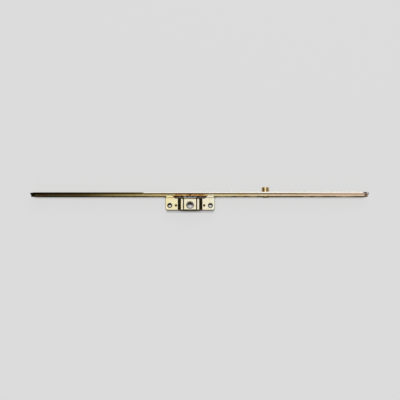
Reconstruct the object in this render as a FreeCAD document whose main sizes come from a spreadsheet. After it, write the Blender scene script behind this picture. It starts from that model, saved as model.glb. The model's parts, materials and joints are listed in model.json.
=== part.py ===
import FreeCAD, Part
import math
import os
import Sketcher
from FreeCAD import Placement, Rotation, Vector

# Window espagnolette: a faceplate with a rod sliding behind it, driven by a quarter turn of a pinion.
# Millimetres. The origin is the middle of the spindle hole. X runs along the faceplate, Y points out
# of its front face, and Z is up with the espagnolette lying on its side, along the spindle.
sizes = {
    # Faceplate
    "backset": 14.0,
    "plateWide": 16.0,
    "plateThick": 2.0,
    "reachLeft": 170.0,
    "reachRight": 190.0,
    "stepPlace": 49.5,
    "stepDrop": 0.6,
    "plateFrontRound": 0.3,
    "plateRearRound": 0.8,
    # Rod behind the faceplate
    "rodThick": 2.0,
    "rodWide": 10.6,
    "rodEndShort": 1.0,
    "rodEndRound": 5.0,
    "rodEdgeRound": 0.3,
    "slideGap": 0.15,
    # Rack in the middle of the rod
    "rackLand": 2.65,
    "lapLength": 6.0,
    "seamGap": 0.1,
    "rackRivetRadius": 1.5,
    "markWide": 1.8,
    "markDeep": 0.8,
    "markLand": 0.4,
    # Teeth
    "pitchDepth": 1.154,
    "flankAngle": 20.0,
    "tipGap": 0.15,
    "rootGap": 0.4,
    "webHalf": 1.15,
    "flankGap": 0.2,
    "tipEase": 0.4,
    "gearHalf": 2.8,
    "gearSideGap": 0.3,
    # Pinion hub
    "journalRadius": 4.3,
    "squareSide": 7.0,
    "squareCorner": 1.5,
    "mouthRadius": 3.8,
    "hubChamfer": 0.15,
    # Sheet metal case
    "sheet": 1.5,
    "caseRim": 0.3,
    "panelTop": 7.2,
    "panelHalf": 6.4,
    "panelRun": 1.1,
    "panelRise": 1.0,
    "shoulderWide": 2.1,
    "shoulderRise": 2.5,
    "footGap": 1.3,
    "lugHalf": 2.5,
    "lugMargin": 4.75,
    "caseCorner": 2.0,
    "bendRound": 0.5,
    "rimRound": 0.5,
    "legSideGap": 0.2,
    "legBendGap": 0.05,
    "legInset": 2.7,
    "legOutset": 3.5,
    "legBendRun": 0.6,
    "legShoulder": 8.3,
    "gussetRun": 3.3,
    "gussetTop": 9.8,
    "tenonInset": 0.8,
    # Handle screw sleeves and the rivets of the case
    "screwSpacing": 43.0,
    "screwHole": 2.7,
    "sleeveBore": 1.65,
    "sleeveRadius": 3.75,
    "rivetShare": 0.4,
    "rivetBore": 1.05,
    "rivetBoreDeep": 3.2,
    "rivetMouth": 1.3,
    "rivetMouthDeep": 0.8,
    "rivetRadius": 1.5,
    "rivetFlange": 1.7,
    "rivetFlangeThick": 0.35,
    # Guide studs and slides that carry the rod
    "studRadius": 1.5,
    "studHeadRadius": 3.1,
    "studHeadThick": 0.8,
    "studHeadSunk": 0.1,
    "slideRadius": 2.3,
    "slideStraight": 2.0,
    "slideSideGap": 0.1,
    # Faceplate screws
    "fixHole": 2.2,
    "fixSink": 3.3,
    "fixSlot": 2.7,
    # Roller cam
    "rollerPlace": 80.0,
    "rollerRadius": 3.9,
    "rollerLift": 0.3,
    "rollerTall": 5.4,
    "rollerCap": 2.9,
    "rollerCapThick": 0.7,
    "rollerRound": 0.4,
    "axleRadius": 2.2,
    "collarRadius": 2.75,
    "shankRadius": 2.5,
    "rivetHeadRadius": 3.75,
    "rivetHeadThick": 0.8,
    # Clearances
    "turnGap": 0.05,
    "stakeGap": 0.02,
    "looseGap": 0.3,
}
studPlaces = {"studFarLeft": -120.0, "studNearLeft": -70.0, "studNearRight": 60.0, "studFarRight": 130.0}
fixPlaces = {"fixFarLeft": -145.0, "fixNearLeft": -35.0, "fixNearRight": 35.0, "fixFarRight": 165.0}
teethRound = 12
toothCount = 5
quarterTurn = math.radians(90)
shortestLongEdge = 30.0
sizes.update(studPlaces)
sizes.update(fixPlaces)


def deriveSizes():
    s = sizes
    toothTurn = 2 * math.pi / teethRound
    s["plateBack"] = s["backset"] - s["plateThick"]
    s["rodFront"] = s["plateBack"] - s["slideGap"]
    s["rodBack"] = s["rodFront"] - s["rodThick"]
    s["rodMiddle"] = s["rodFront"] - 0.5 * s["rodThick"]
    s["pitchRadius"] = s["rodFront"] - s["pitchDepth"]
    s["travel"] = 0.5 * quarterTurn * s["pitchRadius"]
    s["tipRadius"] = s["rodFront"] - s["tipGap"]
    s["rootRadius"] = s["rodBack"] - s["rootGap"]
    # The webs between the rack's slots have slanted flanks, wide at the front of the rod.
    flank = math.tan(math.radians(s["flankAngle"]))
    s["rackPitch"] = toothTurn * s["pitchRadius"]
    s["slotBack"] = 0.5 * s["rackPitch"] - s["webHalf"] + flank * (s["pitchRadius"] - s["rodBack"])
    s["slotFront"] = 0.5 * s["rackPitch"] - s["webHalf"] - flank * s["pitchDepth"]
    s["toothHalf"] = 0.5 * s["rackPitch"] - s["webHalf"] - s["flankGap"]
    # The toothed sector of the pinion ends one tooth half beyond its last tooth.
    halfSector = 0.5 * (toothCount - 1) * toothTurn + s["toothHalf"] / s["rootRadius"]
    s["sectorEnd"] = s["rootRadius"] * math.cos(halfSector)
    s["seam"] = 0.5 * (toothCount - 1) * s["rackPitch"] + s["slotBack"] + s["rackLand"]
    s["lapEnd"] = s["seam"] + s["lapLength"]
    # The case is pressed sheet, so the inner bends lie beside the outer ones by half the turn's tangent.
    s["panelOuter"] = s["lugHalf"] + s["sheet"] + s["shoulderRise"] + s["panelRise"]
    s["shoulderOuter"] = s["lugHalf"] + s["sheet"] + s["shoulderRise"]
    s["lugOuter"] = s["lugHalf"] + s["sheet"]
    s["footX"] = s["tipRadius"] + s["footGap"]
    s["shoulderIn"] = s["panelHalf"] + s["panelRun"]
    s["shoulderOut"] = s["shoulderIn"] + s["shoulderWide"]
    panelTurn = math.atan2(s["panelRise"], s["panelRun"])
    shoulderTurn = math.atan2(s["shoulderRise"], s["footX"] - s["shoulderOut"])
    s["panelBend"] = s["sheet"] * math.tan(0.5 * panelTurn)
    s["shoulderBend"] = s["sheet"] * math.tan(0.5 * shoulderTurn)
    # The legs step outwards to pass beside the rod, and end in tenons in the faceplate.
    s["legInner"] = 0.5 * s["rodWide"] + s["legSideGap"]
    s["legOuter"] = s["legInner"] + s["sheet"]
    s["legBendTop"] = s["rodBack"] - s["legBendGap"]
    s["legBendLow"] = s["legBendTop"] - s["legBendRun"]
    legTurn = math.atan2(s["legInner"] - s["lugHalf"], s["legBendRun"])
    s["legBend"] = s["sheet"] * math.tan(0.5 * legTurn)
    s["screwX"] = 0.5 * s["screwSpacing"]
    s["legIn"] = s["screwX"] - s["legInset"]
    s["legOut"] = s["screwX"] + s["legOutset"]
    s["caseHalf"] = s["screwX"] + s["lugMargin"]
    s["caseLow"] = s["journalRadius"] + s["turnGap"] + s["caseRim"]
    # The case rivets stand between the foot of the raised panel and the screw sleeves.
    s["rivetX"] = s["footX"] + s["rivetShare"] * (s["screwX"] - s["sleeveRadius"] - s["footX"])
    s["rivetTop"] = s["lugOuter"] + s["rivetFlangeThick"]
    s["hubHalf"] = 0.5 * s["plateWide"]
    s["pinionLow"] = s["caseLow"] - s["looseGap"]
    # The stud heads lie sunk in the back of the rod, and the slides reach from them to the faceplate.
    s["headBack"] = s["rodBack"] + s["studHeadSunk"]
    s["headFront"] = s["headBack"] + s["studHeadThick"]
    s["recessFront"] = s["headFront"] + 0.5 * s["looseGap"]
    s["rollerBack"] = s["backset"] + s["rollerLift"]
    s["rollerFront"] = s["rollerBack"] + s["rollerTall"]
    s["capBack"] = s["rollerFront"] - s["rollerCapThick"]


deriveSizes()
doc = FreeCAD.newDocument("Espagnolette")
sheet = doc.addObject("Spreadsheet::Sheet", "Sizes")
for row, alias in enumerate(sizes, start=1):
    sheet.set(f"A{row}", alias)
    sheet.set(f"B{row}", repr(sizes[alias]))
    sheet.setAlias(f"B{row}", alias)
doc.recompute()


# A place or length is text with signed terms, such as "backset -plateThick" or "-0.5*rodWide".
def terms(text):
    found = []
    for word in text.split():
        if word == "0":
            continue
        sign = -1.0 if word.startswith("-") else 1.0
        factor, alias = word.lstrip("+-").rpartition("*")[::2]
        found.append((sign * float(factor or 1), alias))
    return found


def number(text):
    return sum(factor * sizes[alias] for factor, alias in terms(text))


def bind(item, path, text):
    item.setExpression(path, " + ".join(f"({factor}) * Sizes.{alias}" for factor, alias in terms(text)))


def flipped(text):
    return " ".join(word[1:] if word.startswith("-") else "-" + word.lstrip("+") for word in text.split())


def newBody(label):
    body = doc.addObject("PartDesign::Body", label)
    body.Label = label
    return body


def place(body, x):
    bind(body, "Placement.Base.x", x)


# The sketch planes: XY looks down, XZ has its normal along -Y, YZ has its normal along +X.
def newSketch(body, name, plane, offset="0", turned=0.0):
    sketch = body.newObject("Sketcher::SketchObject", name)
    support = [feature for feature in body.Origin.OriginFeatures if feature.Role == plane][0]
    sketch.AttachmentSupport = [(support, "")]
    sketch.MapMode = "FlatFace"
    sketch.AttachmentOffset = Placement(Vector(0, 0, 0), Rotation(Vector(0, 0, 1), turned))
    if terms(offset):
        bind(sketch, "AttachmentOffset.Base.z", offset)
    return sketch


def fixPoint(sketch, piece, end, x, y):
    for kind, axis, text in (("DistanceX", -2, x), ("DistanceY", -1, y)):
        if terms(text):
            mark = sketch.addConstraint(Sketcher.Constraint(kind, -1, 1, piece, end, number(text)))
            bind(sketch, f"Constraints[{mark}]", text)
        else:
            sketch.addConstraint(Sketcher.Constraint("PointOnObject", piece, end, axis))


def fixRadius(sketch, piece, radius):
    mark = sketch.addConstraint(Sketcher.Constraint("Radius", piece, number(radius)))
    bind(sketch, f"Constraints[{mark}]", radius)


def drawPolygon(sketch, points):
    corners = [Vector(number(x), number(y), 0) for x, y in points]
    count = len(points)
    first = sketch.GeometryCount
    for index in range(count):
        sketch.addGeometry(Part.LineSegment(corners[index], corners[(index + 1) % count]))
    for index in range(count):
        following = first + (index + 1) % count
        sketch.addConstraint(Sketcher.Constraint("Coincident", first + index, 2, following, 1))
    for index, (x, y) in enumerate(points):
        fixPoint(sketch, first + index, 1, x, y)


def drawBox(sketch, left, right, low, high):
    drawPolygon(sketch, [(left, low), (right, low), (right, high), (left, high)])


def drawCircle(sketch, x, y, radius):
    circle = Part.Circle(Vector(number(x), number(y), 0), Vector(0, 0, 1), number(radius))
    piece = sketch.addGeometry(circle)
    fixPoint(sketch, piece, 3, x, y)
    fixRadius(sketch, piece, radius)


# A slot with round ends, lying along the sketch's horizontal axis.
def drawSlot(sketch, left, right, radius):
    first = sketch.GeometryCount
    ends = [Vector(number(left), 0, 0), Vector(number(right), 0, 0)]
    size = number(radius)
    up = Vector(0, size, 0)
    quarter = math.pi / 2
    leftCircle = Part.Circle(ends[0], Vector(0, 0, 1), size)
    rightCircle = Part.Circle(ends[1], Vector(0, 0, 1), size)
    sketch.addGeometry(Part.ArcOfCircle(leftCircle, quarter, 3 * quarter))
    sketch.addGeometry(Part.ArcOfCircle(rightCircle, -quarter, quarter))
    sketch.addGeometry(Part.LineSegment(ends[0] - up, ends[1] - up))
    sketch.addGeometry(Part.LineSegment(ends[0] + up, ends[1] + up))
    for arc, arcEnd, line, lineEnd in ((0, 1, 3, 1), (0, 2, 2, 1), (1, 1, 2, 2), (1, 2, 3, 2)):
        joint = Sketcher.Constraint("Tangent", first + arc, arcEnd, first + line, lineEnd)
        sketch.addConstraint(joint)
    sketch.addConstraint(Sketcher.Constraint("Equal", first, first + 1))
    fixPoint(sketch, first, 3, left, "0")
    fixPoint(sketch, first + 1, 3, right, "0")
    fixRadius(sketch, first, radius)


def pad(body, sketch, name, length):
    feature = body.newObject("PartDesign::Pad", name)
    feature.Profile = sketch
    bind(feature, "Length", length)
    sketch.Visibility = False
    doc.recompute()
    return feature


# A pocket runs against its sketch's normal. It has to take material away.
def pocket(body, sketch, name, depth, taper=0.0):
    before = body.Shape.Volume
    feature = body.newObject("PartDesign::Pocket", name)
    feature.Profile = sketch
    feature.AllowMultiFace = True
    feature.TaperAngle = taper
    bind(feature, "Length", depth)
    sketch.Visibility = False
    doc.recompute()
    if not body.Shape.Volume < before - 1e-6:
        raise RuntimeError(f"{body.Label}: {name} cuts nothing")
    return feature


def revolve(body, sketch, name):
    feature = body.newObject("PartDesign::Revolution", name)
    feature.Profile = sketch
    feature.ReferenceAxis = (sketch, ["V_Axis"])
    feature.Angle = 360.0
    sketch.Visibility = False
    doc.recompute()
    return feature


def edgesWhere(shape, test):
    return [f"Edge{index}" for index, edge in enumerate(shape.Edges, start=1) if test(edge)]


def runsAlong(edge, axis):
    if not isinstance(edge.Curve, Part.Line):
        return False
    return abs(abs(edge.Curve.Direction.dot(axis)) - 1) < 1e-6


def roundEdges(body, name, radius, test, kind="Fillet"):
    base = body.Tip
    edges = edgesWhere(base.Shape, test)
    feature = body.newObject(f"PartDesign::{kind}", name)
    feature.Base = (base, edges)
    bind(feature, "Radius" if kind == "Fillet" else "Size", radius)
    doc.recompute()
    return feature


def mirror(body, name, features, plane):
    pair = body.newObject("PartDesign::Mirrored", name)
    pair.Originals = features
    pair.MirrorPlane = ([item for item in body.Origin.OriginFeatures if item.Role == plane][0], [""])
    body.Tip = pair
    doc.recompute()


along = {"X": Vector(1, 0, 0), "Y": Vector(0, 1, 0), "Z": Vector(0, 0, 1)}


# Full-round ends, a front face that steps down on the left, tenon slots, holes and the cam's slot.
def makeFaceplate():
    body = newBody("faceplate")
    front = newSketch(body, "FrontOutline", "XZ_Plane", "-backset")
    drawSlot(front, "-reachLeft 0.5*plateWide", "reachRight -0.5*plateWide", "0.5*plateWide")
    pad(body, front, "Plate", "plateThick")
    roundEdges(body, "FrontEdge", "plateFrontRound",
               lambda edge: abs(edge.BoundBox.YMin - sizes["backset"]) < 1e-6)
    roundEdges(body, "RearEdge", "plateRearRound",
               lambda edge: abs(edge.BoundBox.YMax - sizes["plateBack"]) < 1e-6)
    step = newSketch(body, "StepOutline", "XZ_Plane", "-backset stepDrop")
    drawBox(step, "-reachLeft -plateThick", "-stepPlace", "-plateWide", "plateWide")
    pocket(body, step, "LowerLeft", "plateThick")
    holes = newSketch(body, "StudHoles", "XZ_Plane", "-plateBack plateThick")
    for alias in studPlaces:
        drawCircle(holes, alias, "0", "studRadius stakeGap")
    for alias in fixPlaces:
        drawCircle(holes, alias, "0", "fixHole")
    pocket(body, holes, "RoundHoles", "2*plateThick")
    slots = newSketch(body, "SlotOutlines", "XZ_Plane", "-plateBack plateThick")
    drawSlot(slots, "rollerPlace -travel -looseGap", "rollerPlace travel looseGap", "collarRadius looseGap")
    spans = [("legIn tenonInset", "legOut -tenonInset"), ("-legOut tenonInset", "-legIn -tenonInset")]
    for left, right in spans:
        for low, high in (("legInner", "legOuter"), ("-legOuter", "-legInner")):
            drawBox(slots, left + " -stakeGap", right + " stakeGap", low + " -stakeGap", high + " stakeGap")
    pocket(body, slots, "Slots", "2*plateThick")
    for alias in fixPlaces:
        drop = "stepDrop" if sizes[alias] < -sizes["stepPlace"] else "0"
        sink = newSketch(body, alias + "Sink", "XZ_Plane", "-backset fixSink -fixHole " + drop)
        drawCircle(sink, alias, "0", "fixHole")
        pocket(body, sink, alias + "Cone", "fixSink -fixHole", 45.0)
    return body


def roundLongEdges(body):
    roundEdges(body, "LongEdges", "rodEdgeRound",
               lambda edge: runsAlong(edge, along["X"]) and edge.Length > shortestLongEdge)


# One length of the rod: slots for the guide slides and the faceplate screws, a lap for the rack, rivet
# holes, and a rounded outer end.
def makeRod(label, side, end, studs, fixes, roller):
    body = newBody(label)
    outline = newSketch(body, "RodOutline", "XY_Plane", "-0.5*rodWide")
    seam, lapEnd = ("seam", "lapEnd") if side > 0 else ("-seam", "-lapEnd")
    drawPolygon(outline, [(seam, "rodFront"), (end, "rodFront"), (end, "rodBack"), (lapEnd, "rodBack"),
                          (lapEnd, "rodMiddle"), (seam, "rodMiddle")])
    pad(body, outline, "Rod", "rodWide")
    roundEdges(body, "EndCorners", "rodEndRound",
               lambda edge: runsAlong(edge, along["Y"]) and abs(edge.BoundBox.XMin - number(end)) < 1e-6)
    roundLongEdges(body)
    slots = newSketch(body, "SlideSlots", "XZ_Plane", "-rodBack")
    for alias in studs:
        run = "0.5*slideStraight travel looseGap"
        drawSlot(slots, alias + " " + flipped(run), alias + " " + run, "slideRadius slideSideGap")
    for alias in fixes:
        run = "travel fixSlot -fixHole"
        drawSlot(slots, alias + " " + flipped(run), alias + " " + run, "fixSlot")
    drawCircle(slots, "0.5*seam 0.5*lapEnd" if side > 0 else "-0.5*seam -0.5*lapEnd", "0",
               "rackRivetRadius stakeGap")
    if roller:
        drawCircle(slots, "rollerPlace", "0", "shankRadius stakeGap")
    pocket(body, slots, "Slots", "2*rodThick")
    recess = newSketch(body, "HeadRecess", "XZ_Plane", "-rodBack")
    for alias in studs:
        run = "0.5*slideStraight travel looseGap"
        drawSlot(recess, alias + " " + flipped(run), alias + " " + run, "studHeadRadius looseGap")
    pocket(body, recess, "HeadRecesses", "recessFront -rodBack")
    return body


# The rack: slots right through the rod for the pinion's teeth, closed by a rail on each side.
def makeRack():
    body = newBody("rack_segment")
    outline = newSketch(body, "RackOutline", "XY_Plane", "-0.5*rodWide")
    right = [("seam -seamGap", "rodFront"), ("seam -seamGap", "rodMiddle"),
             ("lapEnd -seamGap", "rodMiddle"), ("lapEnd -seamGap", "rodBack")]
    left = [(flipped(x), y) for x, y in reversed(right)]
    drawPolygon(outline, right + left)
    pad(body, outline, "Rack", "rodWide")
    roundLongEdges(body)
    rivets = newSketch(body, "RivetHoles", "XZ_Plane", "-rodBack")
    for x in ("0.5*seam 0.5*lapEnd", "-0.5*seam -0.5*lapEnd"):
        drawCircle(rivets, x, "0", "rackRivetRadius stakeGap")
    pocket(body, rivets, "RivetBores", "rodThick")
    mark = newSketch(body, "MiddleMark", "XY_Plane", "0.5*rodWide")
    drawPolygon(mark, [("-0.5*markWide", "rodFront"), ("-0.25*markWide", "rodBack markLand"),
                       ("0.25*markWide", "rodBack markLand"), ("0.5*markWide", "rodFront")])
    pocket(body, mark, "MarkNotch", "markDeep")
    first = flipped(f"{0.5 * (toothCount - 1)}*rackPitch")
    tooth = newSketch(body, "ToothSlot", "XY_Plane", "gearHalf gearSideGap")
    drawPolygon(tooth, [(first + " slotBack", "rodBack"), (first + " slotFront", "rodFront"),
                        (first + " -slotFront", "rodFront"), (first + " -slotBack", "rodBack")])
    cut = pocket(body, tooth, "ToothCut", "2*gearHalf 2*gearSideGap")
    row = body.newObject("PartDesign::LinearPattern", "ToothRow")
    row.Originals = [cut]
    row.Direction = (tooth, ["H_Axis"])
    row.Occurrences = toothCount
    bind(row, "Length", f"{toothCount - 1}*rackPitch")
    body.Tip = row
    return body


# The pinion: a toothed sector on a low round body, with a hub that turns in the case on both sides.
def makePinion():
    body = newBody("drive_pinion")
    disc = newSketch(body, "LowBody", "XY_Plane", "-gearHalf")
    drawCircle(disc, "0", "0", "pinionLow")
    pad(body, disc, "Disc", "2*gearHalf")
    sector = newSketch(body, "SectorOutline", "XY_Plane", "-gearHalf")
    reach = number("rootRadius")
    end = math.asin(number("sectorEnd") / reach)
    rim = Part.Circle(Vector(0, 0, 0), Vector(0, 0, 1), reach)
    sector.addGeometry(Part.ArcOfCircle(rim, end, math.pi - end))
    tips = [Vector(reach * math.cos(end), number("sectorEnd"), 0),
            Vector(-reach * math.cos(end), number("sectorEnd"), 0)]
    sector.addGeometry(Part.LineSegment(Vector(0, 0, 0), tips[0]))
    sector.addGeometry(Part.LineSegment(Vector(0, 0, 0), tips[1]))
    sector.addConstraint(Sketcher.Constraint("Coincident", 0, 1, 1, 2))
    sector.addConstraint(Sketcher.Constraint("Coincident", 0, 2, 2, 2))
    for piece in (1, 2):
        sector.addConstraint(Sketcher.Constraint("Coincident", piece, 1, -1, 1))
        mark = sector.addConstraint(Sketcher.Constraint("DistanceY", -1, 1, piece, 2, number("sectorEnd")))
        bind(sector, f"Constraints[{mark}]", "sectorEnd")
    sector.addConstraint(Sketcher.Constraint("Coincident", 0, 3, -1, 1))
    fixRadius(sector, 0, "rootRadius")
    pad(body, sector, "Sector", "2*gearHalf")
    toothTurn = 360.0 / teethRound
    spread = (toothCount - 1) * toothTurn
    tooth = newSketch(body, "ToothOutline", "XY_Plane", "-gearHalf", -0.5 * spread)
    drawPolygon(tooth, [("-toothHalf", "pinionLow"), ("toothHalf", "pinionLow"),
                        ("toothHalf", "pitchRadius"), ("toothHalf -tipEase", "tipRadius"),
                        ("-toothHalf tipEase", "tipRadius"), ("-toothHalf", "pitchRadius")])
    first = pad(body, tooth, "Tooth", "2*gearHalf")
    teeth = body.newObject("PartDesign::PolarPattern", "Teeth")
    teeth.Originals = [first]
    teeth.Axis = (tooth, ["N_Axis"])
    teeth.Angle = spread
    teeth.Occurrences = toothCount
    body.Tip = teeth
    doc.recompute()
    hub = newSketch(body, "HubOutline", "XY_Plane", "-hubHalf")
    drawCircle(hub, "0", "0", "journalRadius")
    pad(body, hub, "Hub", "2*hubHalf")
    roundEdges(body, "HubEnds", "hubChamfer",
               lambda edge: abs(abs(edge.BoundBox.ZMin) - sizes["hubHalf"]) < 1e-6
               and abs(edge.BoundBox.ZLength) < 1e-6, "Chamfer")
    square = newSketch(body, "SquareOutline", "XY_Plane", "hubHalf", 45.0)
    half = "0.5*squareSide"
    short = half + " -squareCorner"
    quarter = [(half, flipped(short)), (half, short)]
    side = [(short, half), (flipped(short), half)]
    drawPolygon(square, quarter + side + [(flipped(x), flipped(y)) for x, y in quarter + side])
    pocket(body, square, "SquareHole", "2*hubHalf")
    mouth = newSketch(body, "MouthOutline", "XY_Plane", "-hubHalf mouthRadius " + flipped(half))
    drawCircle(mouth, "0", "0", half)
    cone = pocket(body, mouth, "Mouth", "mouthRadius " + flipped(half), 45.0)
    mirror(body, "OtherMouth", [cone], "XY_Plane")
    return body


# One cheek of the case, pressed from sheet: flat lugs, a raised middle in two steps, and two legs that
# step outwards past the rod and end in tenons in the faceplate.
def makeCheek(label, turned):
    body = newBody(label)
    section = newSketch(body, "PressedSection", "XZ_Plane", "-panelTop")
    outer = [("panelHalf", "panelOuter"), ("shoulderIn", "shoulderOuter"), ("shoulderOut", "shoulderOuter"),
             ("footX", "lugOuter"), ("caseHalf", "lugOuter")]
    inner = [("panelHalf -panelBend", "panelOuter -sheet"), ("shoulderIn -panelBend", "shoulderOuter -sheet"),
             ("shoulderOut -shoulderBend", "shoulderOuter -sheet"), ("footX -shoulderBend", "lugHalf"),
             ("caseHalf", "lugHalf")]
    half = outer + inner[::-1]
    mirrored = [(flipped(x), z) for x, z in inner + outer[::-1]]
    drawPolygon(section, half + mirrored)
    pad(body, section, "Panel", "panelTop caseLow")
    bends = [number(x) for x, z in outer[:4]]
    roundEdges(body, "Bends", "bendRound",
               lambda edge: runsAlong(edge, along["Y"])
               and min(abs(abs(edge.BoundBox.XMin) - x) for x in bends) < 1e-6
               and edge.BoundBox.ZMin > sizes["lugOuter"] - 1e-6)
    roundEdges(body, "LowerCorners", "caseCorner",
               lambda edge: runsAlong(edge, along["Z"]) and edge.BoundBox.YMin < 0
               and abs(abs(edge.BoundBox.XMin) - sizes["caseHalf"]) < 1e-6)
    foot = newSketch(body, "LegSection", "YZ_Plane", "legIn -gussetRun")
    drawPolygon(foot, [("panelTop -sheet", "lugOuter"), ("legBendLow -legBend", "lugOuter"),
                       ("legBendTop -legBend", "legOuter"), ("backset", "legOuter"), ("backset", "legInner"),
                       ("legBendTop", "legInner"), ("legBendLow", "lugHalf"), ("panelTop -sheet", "lugHalf")])
    leg = pad(body, foot, "Leg", "caseHalf -legIn gussetRun")
    trim = newSketch(body, "LegTrim", "XY_Plane", "panelOuter")
    drawPolygon(trim, [("legIn -gussetRun", "panelTop"), ("legIn", "gussetTop"), ("legIn", "plateBack"),
                       ("legIn tenonInset", "plateBack"), ("legIn tenonInset", "backset plateThick"),
                       ("legIn -2*gussetRun", "backset plateThick"), ("legIn -2*gussetRun", "panelTop")])
    drawPolygon(trim, [("legOut", "legShoulder"), ("legOut", "plateBack"),
                       ("legOut -tenonInset", "plateBack"), ("legOut -tenonInset", "backset plateThick"),
                       ("caseHalf plateThick", "backset plateThick"), ("caseHalf plateThick", "legShoulder")])
    trimmed = pocket(body, trim, "LegOutline", "panelOuter")
    mirror(body, "OtherLeg", [leg, trimmed], "YZ_Plane")
    roundEdges(body, "OuterRim", "rimRound",
               lambda edge: abs(edge.BoundBox.ZMin - sizes["lugOuter"]) < 1e-6
               and (runsAlong(edge, along["Y"]) and abs(abs(edge.BoundBox.XMin) - sizes["caseHalf"]) < 1e-6
                    or runsAlong(edge, along["X"]) and abs(edge.BoundBox.YMin + sizes["caseLow"]) < 1e-6))
    holes = newSketch(body, "Holes", "XY_Plane", "panelOuter sheet")
    drawCircle(holes, "0", "0", "journalRadius turnGap")
    for x in ("screwX", "-screwX"):
        drawCircle(holes, x, "0", "screwHole")
    for x in ("rivetX", "-rivetX"):
        drawCircle(holes, x, "0", "rivetRadius stakeGap")
    pocket(body, holes, "RoundHoles", "2*panelOuter")
    body.Placement = Placement(Vector(0, 0, 0), Rotation(Vector(0, 1, 0), turned))
    return body


# A sleeve that spaces the two cheeks, with thin ends staked in their screw holes.
def makeSleeve(label, x):
    body = newBody(label)
    wall = newSketch(body, "Wall", "XZ_Plane")
    top = [("sleeveRadius", "lugHalf"), ("screwHole -stakeGap", "lugHalf"),
           ("screwHole -stakeGap", "lugOuter"), ("sleeveBore", "lugOuter")]
    drawPolygon(wall, top + [(r, flipped(z)) for r, z in reversed(top)])
    revolve(body, wall, "Sleeve")
    place(body, x)
    return body


# A rivet that holds the two cheeks together: a flat head below, a hollow end rolled over above.
def makeCaseRivet(label, x):
    body = newBody(label)
    profile = newSketch(body, "Profile", "XZ_Plane")
    drawPolygon(profile, [("0", "-rivetTop"), ("rivetFlange", "-rivetTop"), ("rivetFlange", "-lugOuter"),
                          ("rivetRadius", "-lugOuter"), ("rivetRadius", "lugOuter"),
                          ("rivetFlange", "lugOuter"), ("rivetFlange", "rivetTop"),
                          ("rivetMouth", "rivetTop"), ("rivetBore", "rivetTop -rivetMouthDeep"),
                          ("rivetBore", "rivetTop -rivetBoreDeep"), ("0", "rivetTop -rivetBoreDeep")])
    revolve(body, profile, "Rivet")
    place(body, x)
    return body


# A stud riveted into the faceplate. Its head runs sunk in the back of the rod.
def makeStud(label, x):
    body = newBody(label)
    profile = newSketch(body, "Profile", "XY_Plane")
    drawPolygon(profile, [("0", "headBack"), ("studHeadRadius", "headBack"), ("studHeadRadius", "headFront"),
                          ("studRadius", "headFront"), ("studRadius", "backset -stepDrop"),
                          ("0", "backset -stepDrop")])
    revolve(body, profile, "Stud")
    place(body, x)
    return body


def makeSlide(label, x):
    body = newBody(label)
    outline = newSketch(body, "Outline", "XZ_Plane", "-plateBack")
    drawSlot(outline, "-0.5*slideStraight", "0.5*slideStraight", "slideRadius")
    pad(body, outline, "Slide", "plateBack -headFront")
    hole = newSketch(body, "StudHole", "XZ_Plane", "-headFront")
    drawCircle(hole, "0", "0", "studRadius stakeGap")
    pocket(body, hole, "Bore", "plateBack -headFront")
    place(body, x)
    return body


def makeRackRivet(label, x):
    body = newBody(label)
    outline = newSketch(body, "Outline", "XZ_Plane", "-rodFront")
    drawCircle(outline, "0", "0", "rackRivetRadius")
    pad(body, outline, "Rivet", "rodThick")
    place(body, x)
    return body


# The cam's stud: a rivet head behind the rod, a collar in the faceplate's slot, and the roller's axle.
def makeRollerStud():
    body = newBody("roller_stud")
    profile = newSketch(body, "Profile", "XY_Plane")
    drawPolygon(profile, [("0", "rodBack -rivetHeadThick"), ("rivetHeadRadius", "rodBack -rivetHeadThick"),
                          ("rivetHeadRadius", "rodBack"), ("shankRadius", "rodBack"),
                          ("shankRadius", "rodFront"), ("collarRadius", "rodFront"),
                          ("collarRadius", "rollerBack -turnGap"), ("axleRadius", "rollerBack -turnGap"),
                          ("axleRadius", "capBack turnGap"), ("rollerCap", "capBack turnGap"),
                          ("rollerCap", "rollerFront"), ("0", "rollerFront")])
    revolve(body, profile, "Stud")
    roundEdges(body, "HeadEdge", "rodEdgeRound",
               lambda edge: abs(edge.BoundBox.YMax - number("rodBack -rivetHeadThick")) < 1e-6
               and edge.BoundBox.XLength > 1)
    place(body, "rollerPlace")
    return body


def makeRoller():
    body = newBody("roller_sleeve")
    profile = newSketch(body, "Profile", "XY_Plane")
    drawPolygon(profile, [("axleRadius turnGap", "rollerBack"), ("rollerRadius", "rollerBack"),
                          ("rollerRadius", "rollerFront"), ("rollerCap turnGap", "rollerFront"),
                          ("rollerCap turnGap", "capBack"), ("axleRadius turnGap", "capBack")])
    revolve(body, profile, "Sleeve")
    roundEdges(body, "OuterEdges", "rollerRound",
               lambda edge: edge.BoundBox.XLength > 2 * sizes["rollerRadius"] - 1e-6
               and edge.BoundBox.YLength < 1e-6)
    place(body, "rollerPlace")
    return body


parts = [
    makeFaceplate(),
    makeCheek("case_near", 0.0),
    makeCheek("case_far", 180.0),
    makeSleeve("screw_sleeve_left", "-screwX"),
    makeSleeve("screw_sleeve_right", "screwX"),
    makeCaseRivet("case_rivet_left", "-rivetX"),
    makeCaseRivet("case_rivet_right", "rivetX"),
    makeRod("drive_rod_left", -1, "-reachLeft rodEndShort",
            ["studFarLeft", "studNearLeft"], ["fixFarLeft", "fixNearLeft"], False),
    makeRod("drive_rod_right", 1, "reachRight -rodEndShort",
            ["studNearRight", "studFarRight"], ["fixNearRight", "fixFarRight"], True),
    makeRack(),
    makeRackRivet("rack_rivet_left", "-0.5*seam -0.5*lapEnd"),
    makeRackRivet("rack_rivet_right", "0.5*seam 0.5*lapEnd"),
    makePinion(),
    makeRollerStud(),
    makeRoller(),
]
for index, alias in enumerate(studPlaces, start=1):
    parts.append(makeStud(f"guide_stud_{index}", alias))
    parts.append(makeSlide(f"guide_slide_{index}", alias))
doc.recompute()

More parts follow.
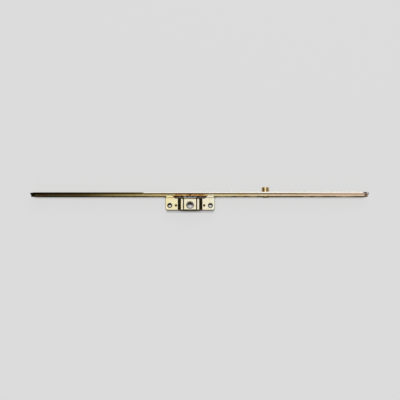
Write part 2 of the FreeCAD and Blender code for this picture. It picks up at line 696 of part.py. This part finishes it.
for item in doc.Objects:
    if "Invalid" in item.State or "Error" in item.State:
        raise RuntimeError(f"{item.Label} failed: {item.State}")
os.makedirs("parts", exist_ok=True)
for part in parts:
    shape = part.Shape
    if shape.isNull() or not shape.isValid() or len(shape.Solids) != 1:
        raise RuntimeError(f"{part.Label} is not one valid solid")
    shape.exportStep(f"parts/{part.Label}.step")
    box = shape.BoundBox
    corners = [round(value, 2) for value in (box.XMin, box.XMax, box.YMin, box.YMax, box.ZMin, box.ZMax)]
    print(f"{part.Label}: {shape.Volume:.1f} cubic mm, box {corners}")
print(f"pitch radius {sizes['pitchRadius']:.4f}, travel each way {sizes['travel']:.4f}")
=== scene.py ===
import json
import math

import bpy
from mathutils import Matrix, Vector


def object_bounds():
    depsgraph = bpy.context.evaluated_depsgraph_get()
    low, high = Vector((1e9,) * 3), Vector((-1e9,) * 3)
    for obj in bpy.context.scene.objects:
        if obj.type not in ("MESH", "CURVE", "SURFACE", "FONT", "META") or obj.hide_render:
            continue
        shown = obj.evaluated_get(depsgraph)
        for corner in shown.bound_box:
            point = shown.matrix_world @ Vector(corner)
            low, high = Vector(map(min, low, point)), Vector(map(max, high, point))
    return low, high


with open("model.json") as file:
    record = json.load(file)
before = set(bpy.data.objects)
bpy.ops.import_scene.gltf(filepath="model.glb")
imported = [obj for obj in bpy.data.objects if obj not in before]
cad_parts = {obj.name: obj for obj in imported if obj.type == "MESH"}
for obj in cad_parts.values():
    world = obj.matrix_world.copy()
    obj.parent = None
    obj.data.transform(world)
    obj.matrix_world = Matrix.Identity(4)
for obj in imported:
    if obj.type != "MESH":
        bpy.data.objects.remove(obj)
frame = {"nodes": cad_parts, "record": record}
cadLow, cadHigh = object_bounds()
cadNodes = frame["nodes"]
print("frame loaded:", len(cadNodes), "pieces")


# Colours are written as they look on screen, 0 to 255, and become linear light here.
def tone(color):
    def linear(value):
        value = value / 255
        return value / 12.92 if value <= 0.04045 else ((value + 0.055) / 1.055) ** 2.4
    return tuple(linear(value) for value in color) + (1.0,)


# Adds and wires the nodes of one material or world. An input takes a plain value or another node's output,
# and is named by its label or its number.
class Wiring:
    def __init__(self, tree):
        self.tree = tree
        self.tree.nodes.clear()

    def add(self, kind, values=None, **settings):
        node = self.tree.nodes.new(kind)
        for key, value in settings.items():
            setattr(node, key, value)
        for socket, value in (values or {}).items():
            self.feed(node.inputs[socket], value)
        return node

    def feed(self, socket, value):
        if isinstance(value, bpy.types.NodeSocket):
            self.tree.links.new(value, socket)
        else:
            socket.default_value = value

    def split(self, vector):
        return self.add("ShaderNodeSeparateXYZ", {"Vector": vector}).outputs

    def calc(self, operation, *values):
        return self.add("ShaderNodeMath", dict(enumerate(values)), operation=operation).outputs["Value"]

    # A value carried from one span to another and held at its ends.
    def remap(self, source, fromLow, fromHigh, toLow=0.0, toHigh=1.0, curve="LINEAR"):
        values = {"Value": source, "From Min": fromLow, "From Max": fromHigh,
                  "To Min": toLow, "To Max": toHigh}
        return self.add("ShaderNodeMapRange", values, interpolation_type=curve).outputs["Result"]


softEdge = 0.0001  # metres over which a mask fades at its edge
fullWear = 2 / 3  # how alike a face's own and its rounded normal are where wear is full


# One metal or plastic shader with its pattern. Masks run from 0 to 1, and places are in the piece's own
# coordinates, in metres.
class Finish(Wiring):
    def __init__(self, name):
        self.material = bpy.data.materials.new(name)
        self.material.use_nodes = True
        super().__init__(self.material.node_tree)
        self.output = self.add("ShaderNodeOutputMaterial")
        self.shader = self.add("ShaderNodeBsdfPrincipled")
        self.feed(self.output.inputs["Surface"], self.shader.outputs["BSDF"])
        coords = self.add("ShaderNodeTexCoord")
        self.place = coords.outputs["Object"]
        self.spot = self.split(self.place)
        self.slant = self.split(coords.outputs["Normal"])

    def set(self, socket, value):
        self.feed(self.shader.inputs[socket], value)

    # Noise at one size, or stretched by a scale for each axis.
    def noise(self, scale, detail, rough=0.55):
        scale = scale if isinstance(scale, tuple) else (scale, scale, scale)
        stretch = self.add("ShaderNodeMapping", {"Vector": self.place, "Scale": scale})
        values = {"Vector": stretch.outputs["Vector"], "Scale": 1.0, "Detail": detail, "Roughness": rough}
        return self.add("ShaderNodeTexNoise", values).outputs["Fac"]

    def blend(self, share, first, second, kind="MIX"):
        values = {0: share, 6: first, 7: second}
        return self.add("ShaderNodeMix", values, data_type="RGBA", blend_type=kind).outputs[2]

    def times(self, first, *others):
        for other in others:
            first = self.calc("MULTIPLY", first, other)
        return first

    # Tones set at places along X.
    def alongX(self, tones):
        first, last = tones[0][0], tones[-1][0]
        ramp = self.add("ShaderNodeValToRGB", {"Fac": self.remap(self.spot["X"], first, last)})
        band = ramp.color_ramp.elements
        while len(band) < len(tones):
            band.new(0.5)
        for element, (place, color) in zip(band, tones):
            element.position = (place - first) / (last - first)
            element.color = tone(color)
        return ramp.outputs["Color"]

    # 1 where the surface looks along an axis, either way, and 0 where it stands along it.
    def facing(self, axis, low, high):
        return self.remap(self.calc("ABSOLUTE", self.slant[axis]), low, high)

    # 1 beyond a place along an axis.
    def beyond(self, axis, place, soft=softEdge):
        return self.remap(self.spot[axis], place, place + soft)

    # 1 farther than a distance from the middle, on both sides of it.
    def farther(self, axis, distance, soft=softEdge):
        return self.remap(self.calc("ABSOLUTE", self.spot[axis]), distance, distance + soft)

    # 1 nearer than a distance to the middle, on both sides of it.
    def nearer(self, axis, distance, soft=softEdge):
        return self.remap(self.calc("ABSOLUTE", self.spot[axis]), distance, distance - soft)

    # 1 between two distances from the middle, on both sides of it.
    def between(self, axis, low, high, soft=softEdge):
        return self.times(self.farther(axis, low, soft), self.nearer(axis, high, soft))

    # Brighter metal on edges that are sharper than a small radius.
    def wear(self, color, look):
        rounded = self.add("ShaderNodeBevel", {"Radius": look["wearRadius"]}, samples=4)
        plain = self.add("ShaderNodeNewGeometry")
        normals = {0: rounded.outputs["Normal"], 1: plain.outputs["Normal"]}
        alike = self.add("ShaderNodeVectorMath", normals, operation="DOT_PRODUCT")
        worn = self.remap(alike.outputs["Value"], 1.0, fullWear)
        return self.blend(self.times(worn, look["wearAmount"]), color, tone(look["wearTone"]))

    def bump(self, height, depth, strength):
        values = {"Height": height, "Distance": depth, "Strength": strength}
        self.set("Normal", self.add("ShaderNodeBump", values).outputs["Normal"])


# What the zinc finishes share. A slant says how far a face looks along an axis, from 0 to 1, where a tone
# starts and where it is full, and is negative where the face looks back.
zincLook = {
    "edgeSlant": (0.2, 0.5), "slopeSlant": (0.1, 0.35), "outerSlant": (0.2, 0.6),
    "filmSpan": (0.42, 0.66), "filmDetail": 3.0,
    "streakSpan": (0.3, 0.7), "streakDetail": 6.0, "streakRough": 0.7,
    "grainDetail": 8.0, "grainRough": 0.7,
}


# 1 on the side of a pressed sheet that looks away from the plane Z = 0, and all over its legs.
def outerSide(finish, look):
    outward = finish.times(finish.slant["Z"], finish.calc("SIGN", finish.spot["Z"]))
    outwardSide = finish.remap(outward, *zincLook["outerSlant"])
    outer = finish.times(outwardSide, finish.farther("Z", look["innerReach"]))
    return finish.calc("MAXIMUM", outer, finish.beyond("Y", look["legStart"]))


# Yellow-passivated zinc: a thin film whose colour drifts along the piece, over drawn or rolled steel. On the
# faceplate, rod and studs the tones along the piece also darken towards the left, as painted shade. Faces
# that look up, down, back or along the piece carry painted shade, and the long edges a painted highlight
# towards the right.
def passivatedZinc(name, look):
    finish = Finish(name)
    color = finish.alongX(look["tones"])
    # Faces that look up or down get painted shade towards the left and a painted highlight towards the right.
    if "edgeShadeAndHighlightTones" in look:
        edge = finish.facing("Z", *zincLook["edgeSlant"])
        color = finish.blend(edge, color, finish.alongX(look["edgeShadeAndHighlightTones"]))
    # Painted shade on faces that look along X, such as the case's slopes.
    if "slopeShadeTone" in look:
        slope = finish.facing("X", *zincLook["slopeSlant"])
        color = finish.blend(slope, color, tone(look["slopeShadeTone"]))
    # Painted shade on the mark over the rack's middle.
    if "markShadeTone" in look:
        mark = finish.times(finish.between("Z", *look["markHeights"]), finish.nearer("X", look["markHalf"]))
        color = finish.blend(mark, color, tone(look["markShadeTone"]))
    # Painted shade on faces that look back, and on the faceplate a painted reflection towards its right end.
    if "backShadeTones" in look:
        backSide = finish.remap(finish.slant["Y"], *look["backSlant"])
        back = finish.times(backSide, finish.farther("Z", look["backRim"]))
        color = finish.blend(back, color, finish.alongX(look["backShadeTones"]))
    # On the case: painted shade up the legs, on the inner faces and in a band along the panel's top rim.
    if "legShadeTones" in look:
        leg = finish.beyond("Y", look["legFade"], look["legSoft"])
        color = finish.blend(leg, color, finish.alongX(look["legShadeTones"]))
        color = finish.blend(outerSide(finish, look), tone(look["innerShadeTone"]), color)
        rim = finish.times(finish.between("Y", *look["rimSpan"]), finish.between("Z", *look["rimHeights"]))
        color = finish.blend(rim, color, tone(look["rimShadeTone"]))
    film = finish.noise(look["filmSize"], zincLook["filmDetail"])
    filmShare = finish.remap(film, *zincLook["filmSpan"], 0.0, look["filmAmount"])
    color = finish.blend(filmShare, color, tone(look["filmTone"]), "MULTIPLY")
    streak = finish.noise(look["streakScale"], zincLook["streakDetail"], zincLook["streakRough"])
    streakShade = finish.remap(streak, *zincLook["streakSpan"], look["streakDark"], 1.0)
    color = finish.blend(1.0, color, streakShade, "MULTIPLY")
    finish.set("Base Color", finish.wear(color, look))
    rough = finish.remap(streak, *zincLook["streakSpan"], look["roughLow"], look["roughHigh"])
    finish.set("Roughness", rough)
    finish.set("Metallic", 1.0)
    finish.set("Specular Tint", tone(look["rimTint"]))
    grain = finish.noise(look["grainScale"], zincLook["grainDetail"], zincLook["grainRough"])
    finish.bump(grain, look["grainDepth"], look["grainStrength"])
    return finish.material


# The case's two cheeks and their rivets: nearly white gold outside, with painted shade on the inner faces,
# the slopes, up the legs and in a band along the panel's top rim.
caseLook = {
    "tones": [(-0.0265, (255, 246, 200)), (-0.01, (255, 246, 212)), (0.01, (255, 246, 222)),
              (0.0265, (250, 250, 228))],
    "slopeShadeTone": (136, 120, 86),
    "innerShadeTone": (112, 96, 64), "innerReach": 0.0023,
    "legStart": 0.0079, "legFade": 0.0093, "legSoft": 0.0022,
    "legShadeTones": [(-0.02, (136, 114, 62)), (0.02, (190, 170, 132))],
    "rimShadeTone": (126, 118, 98), "rimSpan": (0.0063, 0.0075), "rimHeights": (0.0045, 0.0077),
    "rimTint": (150, 130, 96),
    "filmSize": 160.0, "filmAmount": 0.5, "filmTone": (255, 240, 206),
    "streakScale": (900.0, 120.0, 900.0), "streakDark": 0.94,
    "wearRadius": 0.0004, "wearAmount": 0.2, "wearTone": (250, 246, 226),
    "roughLow": 0.22, "roughHigh": 0.38,
    "grainScale": (4000.0, 900.0, 4000.0), "grainDepth": 0.00004, "grainStrength": 0.25,
}

# The faceplate: its long edge has painted shade up to the step at the left and a nearly white painted
# highlight from there on, and its back face has painted shade, with a painted reflection near its right end.
faceplateLook = {
    "tones": [(-0.17, (184, 164, 106)), (-0.05, (208, 190, 128)), (0.05, (226, 208, 156)),
              (0.19, (234, 208, 176))],
    "edgeShadeAndHighlightTones": [(-0.17, (16, 11, 7)), (-0.12, (34, 24, 6)), (-0.07, (96, 80, 40)),
                  (-0.0505, (120, 104, 60)), (-0.0485, (255, 248, 238)), (0.12, (255, 246, 232)),
                  (0.19, (250, 234, 222))],
    "backShadeTones": [(-0.17, (20, 14, 8)), (-0.06, (70, 58, 30)), (-0.045, (104, 88, 58)), (0.0, (56, 44, 26)),
                  (0.03, (96, 82, 60)), (0.106, (130, 112, 90)), (0.149, (220, 194, 172)),
                  (0.19, (244, 216, 194))],
    "backSlant": (-0.08, -0.34), "backRim": 0.0071,
    "rimTint": (74, 62, 44),
    "filmSize": 60.0, "filmAmount": 0.1, "filmTone": (220, 200, 170),
    "streakScale": (60.0, 1500.0, 1500.0), "streakDark": 0.95,
    "wearRadius": 0.0004, "wearAmount": 0.1, "wearTone": (250, 240, 226),
    "roughLow": 0.2, "roughHigh": 0.34,
    "grainScale": (300.0, 6000.0, 6000.0), "grainDepth": 0.00004, "grainStrength": 0.25,
}

# The two lengths of the drive rod: yellow in the middle and pinkish at the right, with painted shade that
# turns the left dark brown, a painted highlight along the edge towards the right, and painted shade on its
# back face.
rodLook = {
    "tones": [(-0.17, (160, 142, 92)), (-0.06, (188, 170, 112)), (0.05, (202, 184, 130)),
              (0.19, (214, 190, 150))],
    "edgeShadeAndHighlightTones": [(-0.17, (58, 46, 34)), (-0.11, (92, 80, 46)), (-0.06, (182, 168, 108)),
                  (-0.02, (240, 222, 160)), (0.05, (246, 232, 184)), (0.1, (250, 228, 194)),
                  (0.19, (255, 230, 204))],
    "backShadeTones": [(-0.17, (60, 50, 30)), (0.19, (74, 60, 36))],
    "backSlant": (-0.25, -0.6), "backRim": 0.0046,
    "rimTint": (66, 54, 32),
    "filmSize": 60.0, "filmAmount": 0.4, "filmTone": (226, 200, 150),
    "streakScale": (60.0, 1500.0, 1500.0), "streakDark": 0.85,
    "wearRadius": 0.0004, "wearAmount": 0.1, "wearTone": (240, 226, 190),
    "roughLow": 0.24, "roughHigh": 0.4,
    "grainScale": (300.0, 6000.0, 6000.0), "grainDepth": 0.00004, "grainStrength": 0.25,
}

# The rack between them: brown gold, with painted shade on the mark over its middle and on its back face.
rackLook = {
    "tones": [(-0.0215, (236, 206, 140)), (-0.008, (232, 192, 126)), (0.008, (228, 182, 112)),
              (0.0215, (236, 196, 140))],
    "backShadeTones": [(-0.03, (16, 10, 6)), (0.03, (30, 22, 14))],
    "backSlant": (-0.1, -0.4), "backRim": 0.0042,
    "markShadeTone": (60, 24, 6), "markHeights": (0.004, 0.0049), "markHalf": 0.0011,
    "rimTint": (30, 22, 14),
    "filmSize": 320.0, "filmAmount": 0.8, "filmTone": (196, 146, 96),
    "streakScale": (200.0, 1500.0, 1500.0), "streakDark": 0.82,
    "wearRadius": 0.0004, "wearAmount": 0.1, "wearTone": (214, 170, 110),
    "roughLow": 0.26, "roughHigh": 0.42,
    "grainScale": (300.0, 6000.0, 6000.0), "grainDepth": 0.00004, "grainStrength": 0.25,
}

# Guide studs, rack rivets and the roller's stud, with painted shade towards the left and on their faces that
# look back.
studLook = {
    "tones": [(-0.17, (150, 130, 80)), (0.0, (196, 174, 116)), (0.19, (214, 186, 146))],
    "backShadeTones": [(-0.17, (50, 42, 26)), (0.19, (56, 46, 28))],
    "backSlant": (-0.25, -0.6), "backRim": 0.0022,
    "rimTint": (50, 40, 26),
    "filmSize": 300.0, "filmAmount": 0.4, "filmTone": (206, 176, 120),
    "streakScale": (900.0, 300.0, 900.0), "streakDark": 0.85,
    "wearRadius": 0.0003, "wearAmount": 0.5, "wearTone": (244, 232, 200),
    "roughLow": 0.25, "roughHigh": 0.42,
    "grainScale": (3000.0, 1000.0, 3000.0), "grainDepth": 0.00003, "grainStrength": 0.25,
}

# The two screw sleeves: drawn tube, dark with painted shade, as they show only down their holes; the left one
# is painted darker.
sleeveLook = {
    "tones": [(-0.03, (26, 19, 11)), (-0.01, (26, 19, 11)), (0.01, (92, 84, 70)), (0.03, (92, 84, 70))],
    "rimTint": (34, 28, 20),
    "filmSize": 400.0, "filmAmount": 0.6, "filmTone": (150, 130, 104),
    "streakScale": (900.0, 900.0, 200.0), "streakDark": 0.7,
    "wearRadius": 0.0003, "wearAmount": 0.1, "wearTone": (200, 190, 170),
    "roughLow": 0.3, "roughHigh": 0.5,
    "grainScale": (3000.0, 3000.0, 700.0), "grainDepth": 0.00004, "grainStrength": 0.3,
}

# The pinion: its bore has painted shade far down and on its chamfers and painted light near its upper mouth,
# and its hub's ends are zinc.
pinionLook = {
    "color": (196, 196, 190), "dark": (96, 94, 92),
    "cloudSize": 420.0, "cloudDetail": 4.0, "cloudSpan": (0.35, 0.68), "cloudAmount": 0.75,
    "hubTone": (250, 240, 212), "hubEnd": 0.0071,
    "boreShadeTone": (34, 24, 22), "boreReach": 0.0041, "boreEnd": -0.001, "mouthLightTone": (246, 238, 216),
    "coneShadeTone": (176, 168, 150), "coneEnd": 0.00765, "coneSoft": 0.00005,
    "wearRadius": 0.0004, "wearAmount": 0.4, "wearTone": (226, 222, 206),
    "rimTint": (60, 54, 44),
    "speckSize": 2600.0, "speckDetail": 3.0, "speckSpan": (0.35, 0.65),
    "roughLow": 0.3, "roughHigh": 0.5, "pitDepth": 0.00006, "pitStrength": 0.5,
}


# Sintered steel: grey, with fine pores, and polished where the teeth rub.
def sinteredSteel(name, look):
    finish = Finish(name)
    cloud = finish.noise(look["cloudSize"], look["cloudDetail"])
    cloudShare = finish.remap(cloud, *look["cloudSpan"], 0.0, look["cloudAmount"])
    color = finish.blend(cloudShare, tone(look["color"]), tone(look["dark"]))
    color = finish.blend(finish.farther("Z", look["hubEnd"]), color, tone(look["hubTone"]))
    # Inside the bore: painted shade far down and on the chamfers, painted light near the upper mouth.
    flat = finish.add("ShaderNodeVectorMath", {0: finish.place, 1: (1.0, 1.0, 0.0)}, operation="MULTIPLY")
    reach = finish.add("ShaderNodeVectorMath", {0: flat.outputs["Vector"]}, operation="LENGTH")
    inside = finish.remap(reach.outputs["Value"], look["boreReach"], look["boreReach"] - softEdge)
    mouth = finish.beyond("Z", look["boreEnd"])
    bore = finish.blend(mouth, tone(look["boreShadeTone"]), tone(look["mouthLightTone"]))
    cone = finish.farther("Z", look["coneEnd"], look["coneSoft"])
    bore = finish.blend(cone, bore, tone(look["coneShadeTone"]))
    finish.set("Base Color", finish.blend(inside, finish.wear(color, look), bore))
    specks = finish.noise(look["speckSize"], look["speckDetail"])
    finish.set("Roughness", finish.remap(specks, *look["speckSpan"], look["roughLow"], look["roughHigh"]))
    finish.set("Metallic", finish.calc("SUBTRACT", 1.0, finish.times(inside, mouth)))
    finish.set("Specular Tint", tone(look["rimTint"]))
    finish.bump(specks, look["pitDepth"], look["pitStrength"])
    return finish.material


# The roller: bright where it is seen square on, duller towards its sides.
rollerLook = {
    "color": (255, 236, 182), "dark": (222, 164, 96),
    "cloudSize": 420.0, "cloudDetail": 3.0, "cloudSpan": (0.4, 0.7), "cloudAmount": 0.6,
    "ringScale": (0.0, 5200.0, 0.0), "ringDetail": 6.0, "ringRough": 0.8, "ringSpan": (0.3, 0.7),
    "ringDepth": 0.00002, "ringStrength": 0.3,
    "roughLow": 0.08, "roughHigh": 0.14, "sideRough": 0.6, "sideSlant": (0.1, 0.28),
    "rimTint": (40, 24, 10),
}


# Turned brass: fine rings round the roller's axis, and a darker tarnish in clouds.
def turnedBrass(name, look):
    finish = Finish(name)
    cloud = finish.noise(look["cloudSize"], look["cloudDetail"])
    cloudShare = finish.remap(cloud, *look["cloudSpan"], 0.0, look["cloudAmount"])
    finish.set("Base Color", finish.blend(cloudShare, tone(look["color"]), tone(look["dark"])))
    rings = finish.noise(look["ringScale"], look["ringDetail"], look["ringRough"])
    grain = finish.remap(rings, *look["ringSpan"], look["roughLow"], look["roughHigh"])
    slanted = finish.add("ShaderNodeLayerWeight").outputs["Facing"]
    dull = finish.remap(slanted, *look["sideSlant"], 0.0, look["sideRough"])
    finish.set("Roughness", finish.calc("ADD", grain, dull))
    finish.set("Metallic", 1.0)
    finish.set("Specular Tint", tone(look["rimTint"]))
    finish.bump(rings, look["ringDepth"], look["ringStrength"])
    return finish.material


# The guide slides in the rod's slots.
slideLook = {
    "color": (26, 26, 27), "pale": (52, 52, 54), "paleAmount": 0.35,
    "grainSize": 2400.0, "grainDetail": 3.0, "grainSpan": (0.3, 0.7),
    "roughLow": 0.42, "roughHigh": 0.6, "grainDepth": 0.00003, "grainStrength": 0.3,
}


# Moulded plastic: nearly black, with a fine grain.
def mouldedPlastic(name, look):
    finish = Finish(name)
    grain = finish.noise(look["grainSize"], look["grainDetail"])
    paleShare = finish.remap(grain, *look["grainSpan"], 0.0, look["paleAmount"])
    finish.set("Base Color", finish.blend(paleShare, tone(look["color"]), tone(look["pale"])))
    finish.set("Roughness", finish.remap(grain, *look["grainSpan"], look["roughLow"], look["roughHigh"]))
    finish.bump(grain, look["grainDepth"], look["grainStrength"])
    return finish.material


finishes = {
    "faceplate_zinc": passivatedZinc("faceplateZinc", faceplateLook),
    "case_zinc": passivatedZinc("caseZinc", caseLook),
    "rod_zinc": passivatedZinc("rodZinc", rodLook),
    "rack_zinc": passivatedZinc("rackZinc", rackLook),
    "stud_zinc": passivatedZinc("studZinc", studLook),
    "sleeve_steel": passivatedZinc("sleeveSteel", sleeveLook),
    "pinion_steel": sinteredSteel("pinionSteel", pinionLook),
    "roller_brass": turnedBrass("rollerBrass", rollerLook),
    "slide_plastic": mouldedPlastic("slidePlastic", slideLook),
}
print("finishes made:", len(finishes))

for subpart in frame["record"]["subparts"]:
    piece = cadNodes[subpart["node"]]
    for holder in piece.material_slots:
        holder.material = finishes[subpart["material_slot"]]
print("finishes assigned")


# The part lies on its side on a pale floor, with painted shadows in a few soft boxes, where its glow is
# weaker:
# in the gap between rod and case, under the lugs, and in the upper part of what shows through the spindle
# hole and the screw holes.
# In each, x is a span of distances from the spindle, on both sides of it (-1 means from the middle on), y a
# span of places, and level the share of the glow that is left.
floorLook = {
    "size": 40.0, "color": (224, 224, 224), "rough": 0.9,
    "glow": (226, 226, 226), "glowShare": 0.85,
    "contactReach": 0.0039, "contactSpan": (0.15, 0.97),
    "shades": [{"x": (-1.0, 0.0175), "y": (0.0072, 0.0104), "soft": 0.0006, "level": 0.1},
               {"x": (-1.0, 0.0262), "y": (-0.0072, 0.0), "soft": 0.0018, "level": 0.62},
               {"x": (-1.0, 0.0036), "y": (0.0012, 0.006), "soft": 0.0014, "level": 0.12},
               {"x": (0.018, 0.025), "y": (0.001, 0.004), "soft": 0.001, "level": 0.2}],
}


# How much glow a painted shadow leaves: 1 outside it.
def paintedShade(finish, shade):
    low, high = shade["y"]
    above = finish.beyond("Y", low, shade["soft"])
    below = finish.remap(finish.spot["Y"], high, high - shade["soft"])
    across = finish.between("X", *shade["x"], shade["soft"])
    return finish.remap(finish.times(above, below, across), 0.0, 1.0, 1.0, shade["level"])


# Matt paper with a share of even glow, which the camera and the metal see, so that shadows stay faint. The
# glow fades close to what stands on the floor, as a painted contact shadow.
def layFloor(look):
    bpy.ops.object.select_all(action="DESELECT")
    bpy.ops.mesh.primitive_plane_add(size=look["size"], location=(0, 0, cadLow[2]))
    floor = bpy.context.object
    floor.name = "floor"
    finish = Finish("floorPaper")
    finish.set("Base Color", tone(look["color"]))
    finish.set("Roughness", look["rough"])
    path = finish.add("ShaderNodeLightPath").outputs
    seen = finish.calc("MAXIMUM", path["Is Camera Ray"], path["Is Glossy Ray"])
    seen = finish.calc("MAXIMUM", seen, path["Is Transmission Ray"])
    contact = finish.add("ShaderNodeAmbientOcclusion", {"Distance": look["contactReach"]}, samples=16)
    strength = finish.remap(contact.outputs["AO"], *look["contactSpan"], curve="SMOOTHSTEP")
    for shade in look["shades"]:
        strength = finish.times(strength, paintedShade(finish, shade))
    glow = finish.add("ShaderNodeEmission", {"Color": tone(look["glow"]), "Strength": strength})
    layers = {0: finish.times(seen, look["glowShare"]), 1: finish.shader.outputs["BSDF"],
              2: glow.outputs["Emission"]}
    finish.feed(finish.output.inputs["Surface"], finish.add("ShaderNodeMixShader", layers).outputs["Shader"])
    floor.data.materials.append(finish.material)


layFloor(floorLook)

# The lamp hangs over the part's front side, in metres and watts.
lampLook = {"place": (0.3, 1.0, 1.0), "size": 0.6, "power": 3.0}


def hangLamp(look):
    light = bpy.data.lights.new("key", "AREA")
    light.shape = "SQUARE"
    light.size = look["size"]
    light.energy = look["power"]
    lamp = bpy.data.objects.new("key", light)
    bpy.context.collection.objects.link(lamp)
    lamp.location = look["place"]
    lamp.rotation_euler = (-Vector(look["place"])).to_track_quat("-Z", "Y").to_euler()


hangLamp(lampLook)

# The room is bright overhead, in front and behind, and dim to the left and right: its light goes from bright
# to dim as a direction leans from near to far along X.
roomLook = {"bright": 1.15, "dim": 0.05, "near": 0.28, "far": 0.62}


def lightRoom(look):
    world = bpy.data.worlds.new("room")
    world.use_nodes = True
    wiring = Wiring(world.node_tree)
    direction = wiring.split(wiring.add("ShaderNodeTexCoord").outputs["Generated"])
    aside = wiring.calc("ABSOLUTE", direction["X"])
    level = wiring.remap(aside, look["near"], look["far"], look["bright"], look["dim"], "SMOOTHSTEP")
    light = wiring.add("ShaderNodeBackground", {"Strength": level})
    wiring.add("ShaderNodeOutputWorld", {"Surface": light.outputs["Background"]})
    bpy.context.scene.world = world


lightRoom(roomLook)
bpy.context.scene.view_settings.view_transform = "Standard"
print("floor, lamp and room placed")

# The camera looks down on the part and leans a little towards the spindle's side of the faceplate. Across is
# the width it takes in, and the sensor is in millimetres.
cameraLook = {"across": 0.425, "distance": 1.1, "lean": 7.0, "target": (0.0105, 0.00626, 0.0), "sensor": 36.0}


def placeCamera(look):
    data = bpy.data.cameras.new("photoCamera")
    data.sensor_width = look["sensor"]
    data.lens = data.sensor_width * look["distance"] / look["across"]
    camera = bpy.data.objects.new("photoCamera", data)
    bpy.context.collection.objects.link(camera)
    lean = math.radians(look["lean"])
    back = Vector((0.0, -math.sin(lean), math.cos(lean)))
    camera.location = Vector(look["target"]) + back * look["distance"]
    camera.rotation_euler = (lean, 0.0, 0.0)
    bpy.context.scene.camera = camera


placeCamera(cameraLook)
print("camera placed")
